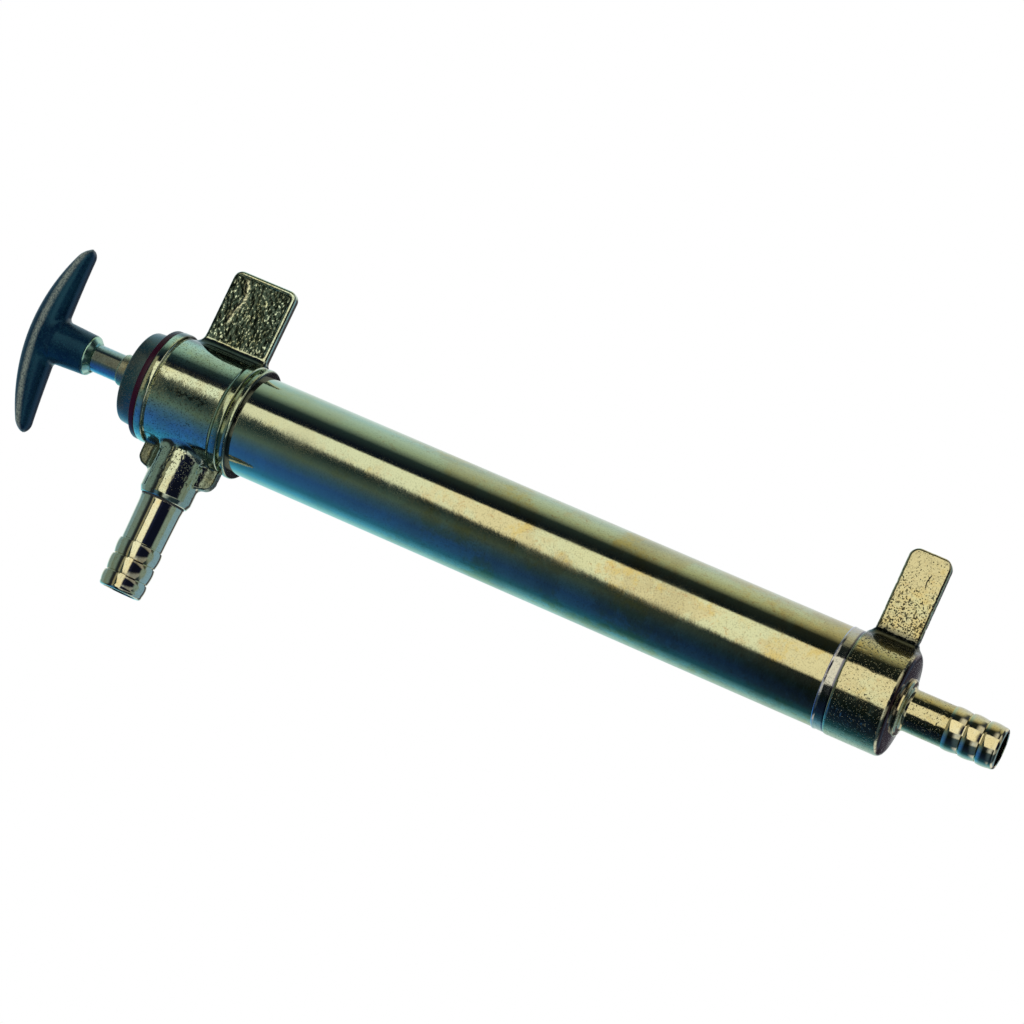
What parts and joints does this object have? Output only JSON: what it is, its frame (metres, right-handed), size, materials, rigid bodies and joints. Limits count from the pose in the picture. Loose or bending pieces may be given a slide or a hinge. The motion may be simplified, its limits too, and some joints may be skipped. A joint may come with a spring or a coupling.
{
  "type": "manual bilge pump",
  "caption": "Hand lift pump for a boat's bilge: bronze barrel with inlet and outlet hose tails, fixing lugs, a ported piston and a T-handled rod.",
  "frame": {"origin": "on the barrel's axis at the open end of the inlet hose tail", "axes": "+Z along the barrel from the inlet to the handle, +X from the axis out to the two fixing lugs, -X along the outlet hose tail, +Y out of the lugs' back faces"},
  "size_m": [0.1708, 0.0572, 0.5217],
  "materials": {
    "barrel_bronze": "drawn and polished tube, slightly tarnished",
    "cast_bronze": "sand cast, pitted, polished over",
    "head_bronze": "cast, darkened, polished barrel and hammered lug",
    "tail_bronze": "turned and polished",
    "braze": "bright braze fillet",
    "inner_brass": "turned brass",
    "bush_brass": "dull brown bush",
    "ferrule_brass": "polished",
    "rod_bronze": "ground and polished",
    "ring_steel": "spring steel",
    "valve_rubber": "matt",
    "gasket_rubber": "dark red, satin",
    "fibre_washer": "vulcanised fibre",
    "cap_plastic": "matt moulded",
    "cup_leather": "oiled",
    "handle_plastic": "satin, finely grained"
  },
  "bodies": {
    "barrel": {"barrel_tube": "barrel_bronze", "foot_casting": "cast_bronze", "foot_braze_ring": "braze", "foot_valve_seat": "inner_brass", "foot_valve_cage": "inner_brass", "tube_collar": "head_bronze", "head_casting": "head_bronze", "head_joint_washer": "fibre_washer", "outlet_washer": "valve_rubber", "outlet_hose_tail": "tail_bronze", "cap_gasket": "gasket_rubber", "gland_cap": "cap_plastic", "gland_bush": "bush_brass", "rod_seal": "valve_rubber", "rod_guide": "inner_brass"},
    "piston": {"piston_body": "inner_brass", "cup_leather": "cup_leather", "piston_follower": "inner_brass", "piston_nut": "inner_brass", "valve_stop_ring": "ring_steel"},
    "rod": {"pump_rod": "rod_bronze", "rod_end_washer": "inner_brass", "rod_end_nut": "inner_brass", "handle_ferrule": "ferrule_brass", "handle_insert": "inner_brass", "handle": "handle_plastic"},
    "piston_valve": {"piston_valve_disc": "valve_rubber"},
    "foot_ball": {"foot_valve_ball": "valve_rubber"}
  },
  "joints": [
    {"name": "piston_stroke", "type": "slide", "parent": "barrel", "child": "piston", "axis": [0, 0, 1], "range_m": [0, 0.27]},
    {"name": "handle_turn", "type": "hinge", "parent": "piston", "child": "rod", "pos_m": [0, 0, 0.13], "axis": [0, 0, 1], "continuous": true},
    {"name": "piston_valve_lift", "type": "slide", "parent": "piston", "child": "piston_valve", "axis": [0, 0, 1], "range_m": [0, 0.0045]},
    {"name": "foot_valve_lift", "type": "slide", "parent": "barrel", "child": "foot_ball", "axis": [0, 0, 1], "range_m": [0, 0.005]}
  ]
}
